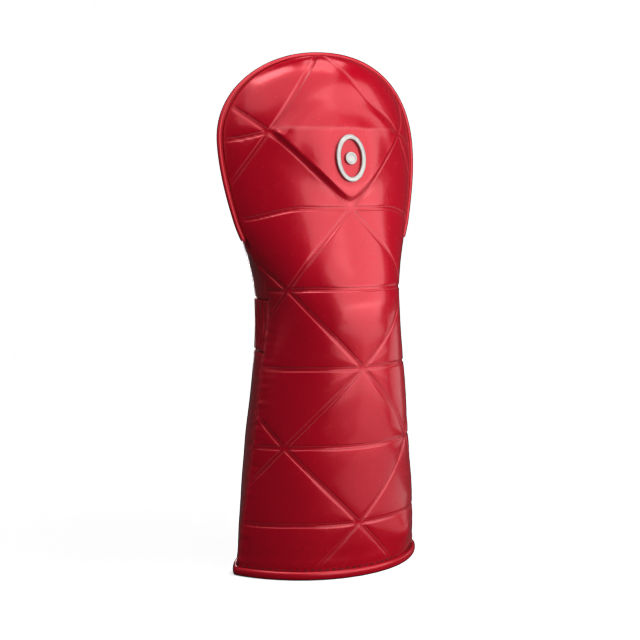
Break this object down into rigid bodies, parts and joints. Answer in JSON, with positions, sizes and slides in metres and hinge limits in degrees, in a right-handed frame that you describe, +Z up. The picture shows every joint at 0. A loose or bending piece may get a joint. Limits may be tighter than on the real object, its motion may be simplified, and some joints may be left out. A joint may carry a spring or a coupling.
{
  "type": "driver head cover",
  "caption": "Padded leather golf driver head cover with a quilted triangle front, piped crown, narrow elastic neck and open hem, standing upright.",
  "frame": {"origin": "bottom centre of the hem, on the plane it stands on", "axes": "+Z up through the crown, -Y towards the embossed front with the badge, +X to the viewer's right when facing the front"},
  "size_m": [0.1494, 0.1039, 0.3447],
  "materials": {
    "red_leather": "smooth satin red leather with a very fine grain",
    "filler_cord": "undyed cotton filler cord",
    "foam": "soft closed-cell padding foam",
    "fleece_lining": "short-pile black fleece",
    "elastic": "woven elastic webbing",
    "badge_metal": "satin silver plated zinc casting",
    "fixing_steel": "plain zinc-plated steel",
    "label_fabric": "blank woven satin label"
  },
  "bodies": {
    "root": {"front_panel": "red_leather", "back_skirt_panel": "red_leather", "back_throat_panel": "red_leather", "back_crown_panel": "red_leather", "crown_piping": "red_leather", "crown_piping_cord": "filler_cord", "hem_binding": "red_leather", "hem_cord": "filler_cord", "emblem_pad": "foam", "front_padding": "foam", "back_skirt_padding": "foam", "back_crown_padding": "foam", "front_lining": "fleece_lining", "back_lining": "fleece_lining", "throat_elastic_lower": "elastic", "throat_elastic_upper": "elastic", "badge_ring": "badge_metal", "badge_stud": "badge_metal", "badge_backing_plate": "fixing_steel", "badge_clip_upper": "fixing_steel", "badge_clip_middle": "fixing_steel", "badge_clip_lower": "fixing_steel", "care_label": "label_fabric"}
  },
  "joints": []
}
